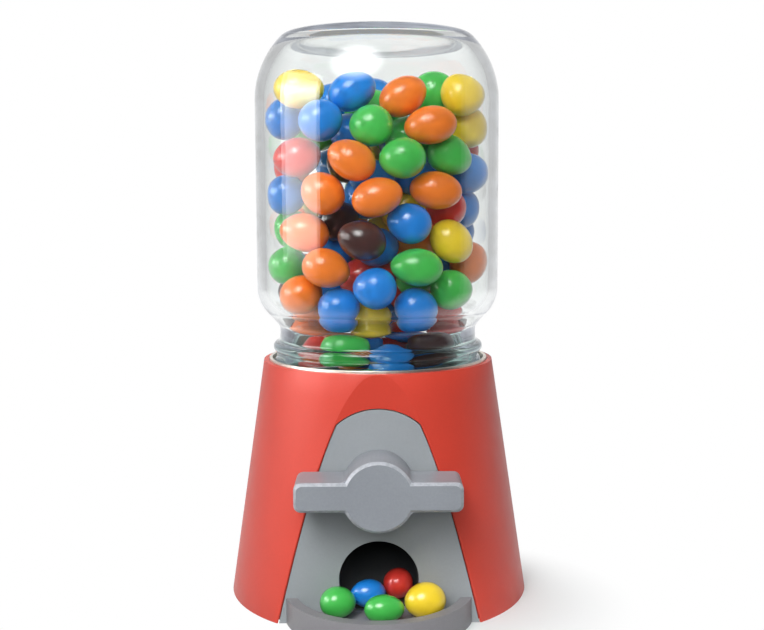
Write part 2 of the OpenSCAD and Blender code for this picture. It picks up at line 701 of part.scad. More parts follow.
module jar() color([0.85, 0.9, 0.92, 0.4]) rotate_extrude($fn = fine)
    polygon(concat(outer_profile(), [for (i = [len(inner_profile()) - 1 : -1 : 0]) inner_profile()[i]]));

// ---- candies -----------------------------------------------------------
// A candy is [centre, direction of its long axis, long radius, short radius, colour].
// All have the same volume, so a longer one is slimmer.
ORANGE = 0;
BLUE = 1;
GREEN = 2;
YELLOW = 3;
RED = 4;
BROWN = 5;
candy_reach = 2 * candy_long + candy_gap;
function slim(a) = sqrt(pow(candy_size, 3) / a);
function unit(v) = v / norm(v);
function direction(az, el) = [cos(el) * cos(az), cos(el) * sin(az), sin(el)];
// half the width of a candy along the unit vector n
function half_width(n, u, a, b) = sqrt(b * b + (a * a - b * b) * pow(n * u, 2));
// points down a straight line
function line(p, q, n) = [for (i = [0 : n - 1]) p + (q - p) * i / n];

// inside of the glass, from the sealing ring up to the closed end
inner_shoulder = arc(shoulder_x, shoulder_z, shoulder_r - glass_t, -shoulder_sweep, 0, 8);
glass_inside = concat(
    line([mouth_in_r, gasket_z], [mouth_in_r, neck_top], 10),
    line([mouth_in_r, neck_top], inner_shoulder[0], 6),
    inner_shoulder,
    line([jar_r - glass_t, shoulder_z], [jar_r - glass_t, heel_z], 24),
    arc(heel_x, heel_z, inner_heel_r, 0, inner_sweep, 8)
);
// how far from the axis a candy can lie at the height z, in the level direction e
function glass_reach(e, z, u, a, b) = min([for (p = glass_inside) if (abs(p.y - z) < candy_long + glass_fit)
    let (d = p.y - z, n = unit(sqrt(max(1, a * a - d * d)) * e + [0, 0, d]),
        w = half_width(n, u, a, b) + glass_fit) p.x - sqrt(max(0, w * w - d * d))]);

// Candies that lie against the front of the glass, or behind the ones before them in the
// list: [x, height, colour, slope of the long axis, long radius]
front_candies = [
    [9, 170, GREEN, 5, 8.5], [19, 182, ORANGE, 8, 9.5], [0, 156, ORANGE, 18, 9.4],
    [-9, 169.5, ORANGE, -30, 9.2], [-2, 182, GREEN, 0, 8.1], [9.5, 193, ORANGE, 30, 9.3],
    [11.5, 146.5, BLUE, -20, 8.4], [-5.5, 140.5, BROWN, -20, 9], [-19.5, 157.5, ORANGE, -45, 8.4],
    [-20, 184, BLUE, 30, 8], [21, 158.5, ORANGE, -8, 9.5], [14, 130.5, GREEN, -6, 9.6],
    [27, 139.5, YELLOW, -55, 8.8], [-1, 123, BLUE, 0, 8], [-18.5, 130, ORANGE, -20, 8.9],
    [-26.5, 143, ORANGE, -15, 9], [-14, 115, BLUE, 40, 8], [14, 115, BLUE, -10, 8.1],
    [-28, 119.5, ORANGE, 40, 7.9], [27, 121, GREEN, 70, 8], [-28, 196, YELLOW, 0, 9],
    [-9, 195, BLUE, 25, 9.2], [31, 194, YELLOW, -60, 8.2], [-29, 171, RED, 20, 8.6],
    [-35, 129.5, GREEN, 0, 8], [-35, 157, BLUE, 60, 8], [-35, 186, BLUE, 70, 8.2],
    [26.5, 171.5, GREEN, -35, 8.6], [35, 165, BLUE, 60, 8], [33.5, 151.5, BLUE, 50, 8],
    [22, 195, GREEN, 60, 8], [35, 182.5, YELLOW, 80, 8], [34, 174, RED, 60, 8.2],
    [35, 130.5, ORANGE, 70, 8.6], [-34, 143.5, GREEN, 80, 7.9], [-35, 117.5, BROWN, 60, 7.9],
    [34.5, 142, BLUE, 50, 7.9], [-34, 168, RED, 60, 8.2], [-34, 177, GREEN, 70, 7.9],
    [-12, 98.5, GREEN, 0, 9.4], [20, 99, BROWN, 0, 8.8], [5, 93, BLUE, 0, 8.6], [11, 103, BLUE, 0, 8.8],
    [-22, 94, RED, 10, 8.2], [-2.5, 109, YELLOW, 0, 8], [27, 107, RED, -30, 8.4],
    [34, 116, BROWN, 60, 8], [-26, 108, ORANGE, 10, 8.4], [-15, 147, BROWN, 30, 8.4],
    [32, 196, GREEN, -50, 8.4],
];
// the point of a candy that lies furthest along n
function furthest(n, u, a, b) = (b * b * n + (a * a - b * b) * (n * u) * u) / half_width(n, u, a, b);
// Room between two candies along n. It is never more than their true gap, so the
// direction in which it is largest is the one to use.
function room(n, d, u, a, b, q) = n * d - half_width(n, u, a, b) - half_width(n, q[1], q[2], q[3]);
function gap_between(d, u, a, b, q) =
    let (n = unit(d), v = d - furthest(n, u, a, b) - furthest(n, q[1], q[2], q[3]),
        turned = unit(n + (v - (v * n) * n) / norm(d)))
    max(room(n, d, u, a, b, q), room(turned, d, u, a, b, q));
// the candies that a candy at o would touch, each as [its centre, how far o has to be from it]
function blocked(o, u, a, b, placed) = [for (q = placed) let (d = o - q[0]) if (norm(d) < candy_reach)
    let (gap = gap_between(d, u, a, b, q)) if (gap < candy_gap) [q[0], norm(d) - gap + candy_gap]];
function clear_y(o, q) = q[0].y + sqrt(max(0, q[1] * q[1] - pow(o.x - q[0].x, 2) - pow(o.z - q[0].z, 2)));
function clear_z(o, q) = q[0].z + sqrt(max(0, q[1] * q[1] - pow(o.x - q[0].x, 2) - pow(o.y - q[0].y, 2)));
// Moves a candy straight back until it clears those placed before it. It stays inside
// the glass, which lets it come no further from the axis than reach.
function behind(x, y, z, reach, u, a, b, placed, left = most_pushes) =
    let (o = [sign(x) * min(abs(x), sqrt(max(0, reach * reach - y * y))), y, z],
        near = blocked(o, u, a, b, placed))
    len(near) == 0 || left == 0 ? o
    : behind(x, max(y, min([for (q = near) clear_y(o, q)])) + push_step, z, reach, u, a, b, placed, left - 1);
function place_front(list, i = 0, placed = []) = i == len(list) ? placed :
    let (c = list[i], x = c[0], z = c[1], a = c[4], b = slim(a), u = [cos(c[3]), 0, sin(c[3])],
        front_reach = glass_reach([0, -1, 0], z, u, a, b),
        side = unit([x, -sqrt(max(1, front_reach * front_reach - x * x)), 0]),
        reach = glass_reach(side, z, u, a, b),
        y = -sqrt(max(0, reach * reach - x * x)))
    place_front(list, i + 1, concat(placed, [[behind(x, y, z, reach, u, a, b, placed), u, a, b, c[2]]]));

// The rest of the heap fills the room that is left, each candy at the lowest of a few places.
// lowest height at which a candy clears the glass of the neck and shoulder
slopes = [12 : 13 : 90];
function on_glass(x, y, u, a, b) =
    let (rho = norm([x, y]), e = unit([x, y, 0]), level = half_width(e, u, a, b) + glass_fit)
    max([for (p = glass_inside) p.x - rho >= level || p.y > shoulder_z ? 0
        : p.y + min([for (t = slopes) let (n = e * cos(t) - [0, 0, sin(t)])
            (half_width(n, u, a, b) + glass_fit - (p.x - rho) * cos(t)) / sin(t)])]);
// lowest height at which a candy clears the funnel
function on_funnel(x, y, u, a, b) =
    let (d = [x, y + drum_y], rho = norm(d), rise = rho < inlet_r ? 0 : funnel_h / (funnel_top_r - inlet_r),
        n = unit([-rise * d.x / rho, -rise * d.y / rho, 1]))
    housing_top + max(0, rho - inlet_r) * rise + (half_width(n, u, a, b) + funnel_fit) / n.z;
function rest_z(x, y, u, a, b) = max(on_funnel(x, y, u, a, b), on_glass(x, y, u, a, b));
// moves a candy up until it clears the others
function above(o, u, a, b, placed, left = most_pushes) = let (near = blocked(o, u, a, b, placed))
    len(near) == 0 || left == 0 ? o.z
    : above([o.x, o.y, max(o.z, min([for (q = near) clear_z(o, q)])) + push_step], u, a, b, placed, left - 1);
// lets a candy down again until it would touch something
function settled(o, u, a, b, placed) = let (down = o - [0, 0, push_step])
    down.z < rest_z(o.x, o.y, u, a, b) || len(blocked(down, u, a, b, placed)) > 0 ? o
    : settled(down, u, a, b, placed);
// whether a candy clears the round heel at the closed end
function in_heel(x, y, z) = z < heel_z
    || norm([norm([x, y]) - heel_x, z - heel_z]) + candy_long < inner_heel_r;
function lowest(x, y, u, a, b, placed) =
    let (column = [for (q = placed) if (abs(q[0].x - x) < candy_reach && abs(q[0].y - y) < candy_reach) q],
        z = above([x, y, rest_z(x, y, u, a, b)], u, a, b, column))
    in_heel(x, y, z) ? z : z + far;
function colour_of(v) = len([for (s = colour_share) if (v > s) s]);
function next_candy(i, placed) =
    let (v = rands(0, 1, own + 3 * tries, pile_seed * seed_step + i),
        u = direction(360 * v[0], most_tilt * (2 * v[1] - 1)),
        a = candy_size + (candy_long - candy_size) * v[2], b = slim(a),
        spots = [for (j = [own : 3 : own + 3 * tries - 1])
            let (az = 360 * v[j], out = [cos(az), sin(az), 0],
                limit = jar_r - glass_t - glass_fit - half_width(out, u, a, b),
                rho = v[j + 1] < wall_share ? limit : limit * sqrt(v[j + 2]))
            let (x = rho * out.x, y = rho * out.y) [x, y, lowest(x, y, u, a, b, placed)]],
        heights = [for (s = spots) s.z], z = min(heights),
        spot = spots[search(z, heights)[0]])
    [z < far ? settled(spot, u, a, b, placed) : spot, u, a, b, colour_of(v[3])];
function drop_rest(i, placed) = i == drops ? placed : let (c = next_candy(i, placed))
    drop_rest(i + 1, c[0].z + c[3] > lip_z + pile_h ? placed : concat(placed, [c]));
function pile() = drop_rest(0, place_front(front_candies));
module candy(c) let (u = c[1]) translate(c[0]) rotate([0, -asin(u.z), atan2(u.y, u.x)])
    scale([c[2] / c[3], 1, 1]) sphere(r = c[3], $fn = candy_facets);
module jar_candies(colour) for (c = pile()) if (c[4] == colour) candy(c);
module candies_orange() color("#e8702a") jar_candies(ORANGE);
module candies_blue() color("#2f7fd0") jar_candies(BLUE);
module candies_green() color("#43a047") jar_candies(GREEN);
module candies_yellow() color("#f2c230") jar_candies(YELLOW);
module candies_red() color("#c8372d") jar_candies(RED);
module candies_brown() color("#3e2723") jar_candies(BROWN);

// two candies in the drum's pocket: x, height of the lowest point above the pocket's floor
in_pocket = [[-3.5, 0.2], [3.6, 11.3]];
pocket_a = 7;
pocket_b = 6.4;
module pocket_candies() color("#43a047") for (p = in_pocket)
    candy([[p.x, -drum_y, axis_z - pocket_sink + pocket_b + p.y], direction(90, 0), pocket_a, pocket_b]);
// candies served: x, distance in front of the panel's face (less than 0 is on the
// chute's slope), direction of the long axis, long radius, short radius
served = [[-14.9, 6, 10, 6.7, 5.8], [-4, -1.9, 12, 6.7, 5.2], [7.3, -6.9, 75, 6.3, 5.6],
    [1.9, 11.2, 5, 7.4, 5.2], [16.7, 6.8, 15, 7.8, 6.6]];
served_gap = 0.1;     // between a candy and the tray's floor
module tray_candies() color("#f2c230") for (s = served) let (slope = s[1] < 0 ? trough_slope : 0,
    z = tray_floor - s[1] * tan(slope) + s[4] / cos(slope) + served_gap)
    candy([[s[0], -facet - s[1], z], direction(s[2], 0), s[3], s[4]]);

base_shell();
front_panel();
candy_tray();
chute();
base_plate();
base_screws();
panel_screws();
tray_screws();
chute_screws();
hopper();
drum_housing();
housing_cap();
housing_screws();
cap_screws();
front_bush();
rear_bush();
knob();
drum_shaft();
dispensing_drum();
drum_pin();
knob_set_screw();
thrust_washer();
retaining_clip();
jar_collar();
collar_screws();
jar_gasket();
jar();
candies_orange();
candies_blue();
candies_green();
candies_yellow();
candies_red();
candies_brown();
pocket_candies();
tray_candies();
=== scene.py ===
"""Looks of the candy dispenser: an upturned glass jar of sugar-coated candies on a
red base with a grey front panel, knob and tray. Lengths are in metres."""
import math
import random

import bpy
import numpy as np
from mathutils import Matrix, Vector


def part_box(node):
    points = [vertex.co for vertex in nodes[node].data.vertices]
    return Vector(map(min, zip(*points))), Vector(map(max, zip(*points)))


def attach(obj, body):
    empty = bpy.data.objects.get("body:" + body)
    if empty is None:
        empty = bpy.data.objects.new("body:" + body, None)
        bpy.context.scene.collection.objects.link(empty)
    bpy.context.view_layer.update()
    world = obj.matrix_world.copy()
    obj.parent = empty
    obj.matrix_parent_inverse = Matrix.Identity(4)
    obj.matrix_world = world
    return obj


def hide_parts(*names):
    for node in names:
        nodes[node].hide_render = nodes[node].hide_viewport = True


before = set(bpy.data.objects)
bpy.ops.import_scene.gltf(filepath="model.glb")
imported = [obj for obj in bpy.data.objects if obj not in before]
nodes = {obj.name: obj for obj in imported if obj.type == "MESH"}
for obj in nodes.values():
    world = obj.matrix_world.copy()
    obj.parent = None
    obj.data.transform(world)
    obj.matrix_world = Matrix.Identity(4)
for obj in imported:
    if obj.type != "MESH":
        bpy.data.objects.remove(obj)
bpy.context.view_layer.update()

MM = 0.001
WELD_REACH = 0.004 * MM    # points of a CAD mesh closer than this are welded


# ---- meshes ----------------------------------------------------------------
def new_object(name, vertices, faces, smooth=True):
    """A mesh object from points in metres and faces that number them."""
    mesh = bpy.data.meshes.new(name)
    mesh.from_pydata([tuple(v) for v in vertices], [], faces)
    mesh.validate()
    mesh.update()
    mesh.polygons.foreach_set("use_smooth", [smooth] * len(mesh.polygons))
    obj = bpy.data.objects.new(name, mesh)
    bpy.context.scene.collection.objects.link(obj)
    return obj


def seat(obj, body, *replaced):
    """Lets a new piece ride on a body, in place of the CAD nodes that it stands for."""
    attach(obj, body)
    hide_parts(*replaced)


def soften_edges(obj, width, segments=3, angle=35):
    """Welds a CAD node's mesh and rounds its sharp edges, as modifiers."""
    weld = obj.modifiers.new("weld", "WELD")
    weld.merge_threshold = WELD_REACH
    bevel = obj.modifiers.new("bevel", "BEVEL")
    bevel.width = width
    bevel.segments = segments
    bevel.limit_method = "ANGLE"
    bevel.angle_limit = math.radians(angle)
    bevel.harden_normals = True
    bevel.use_clamp_overlap = True


# ---- materials -------------------------------------------------------------
COLOUR_MIX_INPUTS = (0, 6, 7)    # where a colour mix takes its amount and its two colours
COLOUR_MIX_OUTPUT = 2


class Nodes:
    """A material's node tree, with short calls to add and link nodes."""

    def __init__(self, name):
        self.material = bpy.data.materials.new(name)
        self.material.use_nodes = True
        self.tree = self.material.node_tree
        self.tree.nodes.clear()
        self.out = self.add("ShaderNodeOutputMaterial")
        self.coords = self.add("ShaderNodeTexCoord").outputs["Object"]

    def add(self, kind, **values):
        node = self.tree.nodes.new(kind)
        for key, value in values.items():
            if key in node.inputs:
                node.inputs[key].default_value = value
            else:
                setattr(node, key, value)
        return node

    def link(self, a, b):
        self.tree.links.new(a, b)

    def feed(self, value, socket):
        """Links an output to a socket, or sets a plain value on it."""
        if isinstance(value, bpy.types.NodeSocket):
            self.link(value, socket)
        else:
            socket.default_value = value

    def surface(self, shader):
        """Ends the tree in this shader and gives the finished material."""
        self.link(shader, self.out.inputs["Surface"])
        return self.material

    def noise(self, scale, detail=3.0, roughness=0.5, stretch=(1, 1, 1)):
        """Noise whose features are about 1 / scale metres across."""
        place = self.add("ShaderNodeMapping")
        place.inputs["Scale"].default_value = stretch
        self.link(self.coords, place.inputs["Vector"])
        noise = self.add("ShaderNodeTexNoise")
        noise.inputs["Scale"].default_value = scale
        noise.inputs["Detail"].default_value = detail
        noise.inputs["Roughness"].default_value = roughness
        self.link(place.outputs["Vector"], noise.inputs["Vector"])
        return noise.outputs["Fac"]

    def ramp(self, value, low, high, at=(0.3, 0.7)):
        """Goes from one colour to another as a value goes through a range."""
        ramp = self.add("ShaderNodeValToRGB")
        for stop, place, colour in zip(ramp.color_ramp.elements, at, (low, high)):
            stop.position = place
            stop.color = colour
        self.link(value, ramp.inputs["Fac"])
        return ramp.outputs["Color"]

    def spread(self, value, low, high):
        """Maps a value from 0..1 to low..high."""
        node = self.add("ShaderNodeMapRange")
        node.inputs["To Min"].default_value = low
        node.inputs["To Max"].default_value = high
        self.link(value, node.inputs["Value"])
        return node.outputs["Result"]

    def smooth(self, value, low, high, at_low=0.0, at_high=1.0):
        """Goes smoothly from at_low to at_high as the value goes from low to high."""
        node = self.add("ShaderNodeMapRange", interpolation_type="SMOOTHSTEP")
        for socket, number in zip(("From Min", "From Max", "To Min", "To Max"), (low, high, at_low, at_high)):
            node.inputs[socket].default_value = number
        self.link(value, node.inputs["Value"])
        return node.outputs["Result"]

    def maths(self, operation, *values):
        """One step of arithmetic on outputs or plain numbers."""
        node = self.add("ShaderNodeMath", operation=operation)
        for value, socket in zip(values, node.inputs):
            self.feed(value, socket)
        return node.outputs[0]

    def product(self, *values):
        """The values multiplied together."""
        total = values[0]
        for value in values[1:]:
            total = self.maths("MULTIPLY", total, value)
        return total

    def split(self, vector):
        """The X, Y and Z outputs of a vector."""
        node = self.add("ShaderNodeSeparateXYZ")
        self.link(vector, node.inputs[0])
        return node.outputs

    def length(self, vector):
        node = self.add("ShaderNodeVectorMath", operation="LENGTH")
        self.link(vector, node.inputs[0])
        return node.outputs["Value"]

    def mix_colours(self, amount, first, second, blend="MIX"):
        node = self.add("ShaderNodeMix", data_type="RGBA", blend_type=blend)
        for value, socket in zip((amount, first, second), COLOUR_MIX_INPUTS):
            self.feed(value, node.inputs[socket])
        return node.outputs[COLOUR_MIX_OUTPUT]

    def mix_shaders(self, amount, first, second):
        node = self.add("ShaderNodeMixShader")
        for value, socket in zip((amount, first, second), node.inputs):
            self.link(value, socket)
        return node.outputs["Shader"]

    def bump(self, height, distance, strength=1.0, normal=None):
        """Makes a height show as if it stood up by a distance in metres."""
        node = self.add("ShaderNodeBump")
        node.inputs["Distance"].default_value = distance
        node.inputs["Strength"].default_value = strength
        self.link(height, node.inputs["Height"])
        if normal is not None:
            self.link(normal, node.inputs["Normal"])
        return node.outputs["Normal"]


WHITE = (1.0, 1.0, 1.0, 1.0)


def shade(colour, factor):
    """A colour made darker or lighter, with its alpha."""
    return tuple(min(1.0, c * factor) for c in colour[:3]) + (1.0,)


CHAMFER_FACING, CHAMFER_SPAN = -0.70, 0.22    # Y of a front chamfer's normal, and its play


def plastic(name, colour, roughness, mottling=0.04, grain=0.02, grain_scale=2600, wear_and_highlight=None):
    """Moulded plastic: faint mottling, fine specks and a fine grain. Where the front
    edges are chamfered it may be paler, partly rubbed wear and partly a painted highlight."""
    m = Nodes(name)
    shader = m.add("ShaderNodeBsdfPrincipled")
    clouds = m.ramp(m.noise(45, 4), shade(colour, 1 - mottling), shade(colour, 1 + mottling))
    specks = m.ramp(m.noise(1100, 3), shade(WHITE, 1 - mottling), WHITE)
    tone = m.mix_colours(1.0, clouds, specks, "MULTIPLY")
    # a paler colour on the forward-facing chamfers, broken by noise: partly rubbed wear, partly a painted
    # highlight
    if wear_and_highlight:
        facing = m.split(m.add("ShaderNodeTexCoord").outputs["Normal"])["Y"]
        chamfer = m.maths("COMPARE", facing, CHAMFER_FACING, CHAMFER_SPAN)
        wear_and_highlight_mask = m.product(chamfer, m.spread(m.noise(700, 2), -0.3, 1.3))
        tone = m.mix_colours(wear_and_highlight_mask, tone, wear_and_highlight)
    m.link(tone, shader.inputs["Base Color"])
    m.link(m.spread(m.noise(160, 5, 0.6), roughness - 0.06, roughness + 0.06), shader.inputs["Roughness"])
    m.link(m.bump(m.noise(grain_scale, 2), grain * MM), shader.inputs["Normal"])
    return m.surface(shader.outputs["BSDF"])


def metal(name, colour, roughness):
    """Plated or lacquered metal with faint clouds and fine scratches."""
    m = Nodes(name)
    shader = m.add("ShaderNodeBsdfPrincipled", Metallic=1.0)
    m.link(m.ramp(m.noise(300, 3), shade(colour, 0.9), shade(colour, 1.05)), shader.inputs["Base Color"])
    m.link(m.spread(m.noise(900, 4), roughness - 0.08, roughness + 0.08), shader.inputs["Roughness"])
    m.link(m.bump(m.noise(2500, 2, 0.5, (1, 1, 6)), 0.01 * MM), shader.inputs["Normal"])
    return m.surface(shader.outputs["BSDF"])


def candy_shell(name, colour):
    """Polished sugar coat: slightly uneven colour, low waves and a clear gloss."""
    m = Nodes(name)
    shader = m.add("ShaderNodeBsdfPrincipled")
    shader.inputs["Coat Weight"].default_value = 0.9
    shader.inputs["Coat Roughness"].default_value = 0.12
    shader.inputs["Specular IOR Level"].default_value = 0.3
    m.link(m.ramp(m.noise(130, 4), shade(colour, 0.9), shade(colour, 1.07)), shader.inputs["Base Color"])
    m.link(m.spread(m.noise(500, 5, 0.6), 0.26, 0.42), shader.inputs["Roughness"])
    waves = m.bump(m.noise(260, 2), 0.10 * MM)
    m.link(m.bump(m.noise(1500, 3), 0.012 * MM, 1.0, waves), shader.inputs["Normal"])
    return m.surface(shader.outputs["BSDF"])


TRAPPED, DEEP = 2, 9    # bounces after which the glass glows in a painted grey-blue, in place of light trapped in the rims
RIM_GLOW_DARK, RIM_GLOW_PALE = (0.15, 0.155, 0.18, 1), (0.46, 0.49, 0.56, 1)
# the glass's green tint, made darker at the mouth to paint the shade inside the base seen through it, and the
# tint above
GLASS_MOUTH_SHADE, GLASS_BODY = (0.56, 0.73, 0.70, 1), (0.97, 0.99, 0.985, 1)
MOUTH_SHADE_HEIGHTS = (0.098, 0.105)    # heights between which the mouth's painted shade fades


def clear_glass(name):
    """Clear glass with faint waves, green and darker at the mouth as painted shade of the
    base's inside seen through it. Lamps shine through it onto what is behind. Where a ray
    has bounced about in the rims too often, the glass glows in a painted grey-blue instead."""
    m = Nodes(name)
    glass = m.add("ShaderNodeBsdfPrincipled", IOR=1.5)
    # painted shade: the glass is darker and greener below the mouth's heights
    height = m.smooth(m.split(m.coords)["Z"], *MOUTH_SHADE_HEIGHTS)
    m.link(m.ramp(height, GLASS_MOUTH_SHADE, GLASS_BODY, (0.0, 1.0)), glass.inputs["Base Color"])
    glass.inputs["Transmission Weight"].default_value = 1.0
    m.link(m.spread(m.noise(220, 3), 0.0, 0.03), glass.inputs["Roughness"])
    m.link(m.bump(m.noise(38, 2), 0.10 * MM), glass.inputs["Normal"])
    path = m.add("ShaderNodeLightPath").outputs
    trapped = m.maths("GREATER_THAN", path["Glossy Depth"], TRAPPED)
    deep = m.maths("GREATER_THAN", path["Ray Depth"], DEEP)
    # painted glow: an emission in a streaky grey-blue stands in for light trapped in the rims
    painted_glow = m.add("ShaderNodeEmission")
    m.link(m.ramp(m.noise(55, 3, 0.6, (1, 1, 4)), RIM_GLOW_DARK, RIM_GLOW_PALE, (0.36, 0.64)), painted_glow.inputs["Color"])
    solid = m.mix_shaders(m.maths("MAXIMUM", trapped, deep), glass.outputs["BSDF"], painted_glow.outputs["Emission"])
    clear = m.add("ShaderNodeBsdfTransparent")
    return m.surface(m.mix_shaders(path["Is Shadow Ray"], solid, clear.outputs["BSDF"]))


RED = (0.67, 0.054, 0.030)
GREY = (0.345, 0.37, 0.39)
KNOB_GREY = (0.305, 0.328, 0.362)
# pale colour on the knob's front chamfers: partly rubbed wear, partly a painted highlight
KNOB_WEAR_AND_HIGHLIGHT = (0.50, 0.52, 0.56, 1)
TRAY_GREY = (0.25, 0.245, 0.26)
INSIDE_BLACK = (0.06, 0.064, 0.068)
HOPPER_BLACK = (0.025, 0.045, 0.05)
RUBBER_BLACK = (0.02, 0.035, 0.035)
ACETAL_WHITE = (0.72, 0.70, 0.66)
ZINC = (0.62, 0.62, 0.63)
COLLAR_BEIGE = (0.83, 0.76, 0.68)
CANDY = {
    "orange": (0.92, 0.21, 0.018),
    "blue": (0.012, 0.225, 0.72),
    "green": (0.065, 0.53, 0.085),
    "yellow": (0.97, 0.68, 0.03),
    "red": (0.70, 0.04, 0.028),
    "brown": (0.045, 0.014, 0.012),
}
candy_materials = {colour: candy_shell("candy_" + colour, rgb) for colour, rgb in CANDY.items()}
red_plastic = plastic("red_plastic", RED, 0.42, 0.03, 0.012, 2200)
grey_plastic = plastic("grey_plastic", GREY, 0.40, 0.04, 0.015, 2400)
knob_plastic = plastic("knob_plastic", KNOB_GREY, 0.38, 0.06, 0.02, 2000, KNOB_WEAR_AND_HIGHLIGHT)
tray_plastic = plastic("tray_plastic", TRAY_GREY, 0.42, 0.05, 0.015, 2400)
dark_plastic = plastic("dark_plastic", INSIDE_BLACK, 0.5, 0.1, 0.02)
hopper_plastic = plastic("hopper_plastic", HOPPER_BLACK, 0.4, 0.08, 0.015)
acetal = plastic("acetal", ACETAL_WHITE, 0.35, 0.02, 0.01)
gasket_rubber = plastic("gasket_rubber", RUBBER_BLACK, 0.6, 0.06, 0.03)
steel = metal("zinc_steel", ZINC, 0.32)
collar_metal = metal("collar_lacquer", COLLAR_BEIGE, 0.38)
glass = clear_glass("clear_glass")


# ---- CAD nodes that keep their shape ----------------------------------------
def dress(node, material, edge=None, segments=3):
    """Gives a CAD node its material and, where edge says how wide, rounded edges."""
    obj = nodes[node]
    obj.data.materials.clear()
    obj.data.materials.append(material)
    if edge:
        soften_edges(obj, edge, segments)


dress("base_shell", red_plastic, 0.5 * MM)
dress("front_panel", grey_plastic, 0.45 * MM)
dress("candy_tray", tray_plastic, 0.5 * MM)
dress("knob", knob_plastic, 0.2 * MM)
for name in ("chute", "drum_housing", "housing_cap", "base_plate"):
    dress(name, dark_plastic, 0.2 * MM, 2)
dress("hopper", hopper_plastic)
for name in ("front_bush", "rear_bush", "dispensing_drum"):
    dress(name, acetal, 0.15 * MM, 2)
dress("jar_gasket", gasket_rubber)
dress("jar_collar", collar_metal, 0.3 * MM)
STEEL_NODES = ("drum_shaft", "drum_pin", "knob_set_screw", "thrust_washer", "retaining_clip")
for name in nodes:
    if name.endswith("screws") or name in STEEL_NODES:
        dress(name, steel)


# ---- jar -------------------------------------------------------------------
def arc(cx, cz, r, start, end, steps):
    """Points of an arc from one angle in degrees to another."""
    turns = [math.radians(start + (end - start) * i / steps) for i in range(steps + 1)]
    return [(cx + r * math.cos(a), cz + r * math.sin(a)) for a in turns]


def upright(r, low, high, steps, first, last):
    """Points of an upright line cut into steps, from the first to the last step named."""
    return [(r, low + (high - low) * i / steps) for i in range(first, last + 1)]


# the jar in mm, from the lip on which it stands to its closed end at the top
JAR_R = 47.5
JAR_H = 132.4
GLASS = 3.6             # thickness of the wall
FINISH_R = 39.4         # the part between the lip and the bead, which carries the lugs
NECK_R = 38.8
LIP_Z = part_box("jar")[0].z / MM
JAR_TOP = LIP_Z + JAR_H
MOUTH_R = FINISH_R - GLASS - 0.4
LIP_ROUND = 1.3         # radius of the lip's two edges
LIP_W = 2.2             # from the finish to the lip's inner edge
LIP_SLOPE = 2.6         # height of the lip's inner slope
BEAD_R = 41.5
BEAD_ROUND = 2.2
BEAD_SWEEP = 62         # degrees of the bead's round above and below its middle
BEAD_Z = LIP_Z + 11.4
UNDER_BEAD = 3.6        # from the bead's middle down to the end of the finish
FINISH_STEPS = 22       # rings of points on the finish, close enough to carry the lugs
NECK_HOLLOW = 1.6       # radius of the hollow between bead and neck
HOLLOW_Z = BEAD_Z + 3.4
NECK_TOP = LIP_Z + 18
NECK_FILLET = 4.6
SHOULDER_R, SHOULDER_SWEEP = 15, 48
SHOULDER_X = JAR_R - SHOULDER_R
SHOULDER_Z = NECK_TOP + 17
HEEL_R, HEEL_SWEEP = 35, 44    # the round between wall and closed end
TOE_R = 4                      # the tighter round at its edge
TOE_X = JAR_R - HEEL_R + (HEEL_R - TOE_R) * math.cos(math.radians(HEEL_SWEEP))
TOE_Z = JAR_TOP - TOE_R
HEEL_X, HEEL_Z = JAR_R - HEEL_R, TOE_Z - (HEEL_R - TOE_R) * math.sin(math.radians(HEEL_SWEEP))
RIM_W = 0.5             # width of the level rim round the closed end
PUNT = 1.6              # depth of the closed end's hollow
PUNT_FALL, PUNT_EDGE = 6, 9    # how far inside the rim the hollow falls, and where it is level
INNER_HEEL_R = HEEL_R - GLASS
INNER_SWEEP, INNER_TOE_R = 36, 8
INNER_TOE_X = HEEL_X + (INNER_HEEL_R - INNER_TOE_R) * math.cos(math.radians(INNER_SWEEP))
INNER_TOE_Z = HEEL_Z + (INNER_HEEL_R - INNER_TOE_R) * math.sin(math.radians(INNER_SWEEP))


def jar_outside():
    lip_z = LIP_Z + LIP_ROUND
    return (
        arc(FINISH_R - LIP_ROUND, lip_z, LIP_ROUND, -90, 0, 6)
        + upright(FINISH_R, lip_z, BEAD_Z - UNDER_BEAD, FINISH_STEPS, 1, FINISH_STEPS)
        + arc(BEAD_R - BEAD_ROUND, BEAD_Z, BEAD_ROUND, -BEAD_SWEEP, BEAD_SWEEP, 10)
        + arc(NECK_R + NECK_HOLLOW, HOLLOW_Z, NECK_HOLLOW, 235, 180, 4)
        + arc(NECK_R + NECK_FILLET, NECK_TOP, NECK_FILLET, 180, 132, 8)
        + arc(SHOULDER_X, SHOULDER_Z, SHOULDER_R, -SHOULDER_SWEEP, 0, 16)
        + upright(JAR_R, SHOULDER_Z, HEEL_Z, 8, 1, 7)
        + arc(HEEL_X, HEEL_Z, HEEL_R, 0, HEEL_SWEEP, 20)
        + arc(TOE_X, TOE_Z, TOE_R, HEEL_SWEEP + 6, 84, 6)
        + arc(TOE_X - RIM_W, TOE_Z, TOE_R, 90, 128, 6)
        + [(TOE_X - PUNT_FALL, JAR_TOP - PUNT * 0.72), (TOE_X - PUNT_EDGE, JAR_TOP - PUNT)]
        + [(TOE_X * 0.4, JAR_TOP - PUNT - 0.2)]
    )


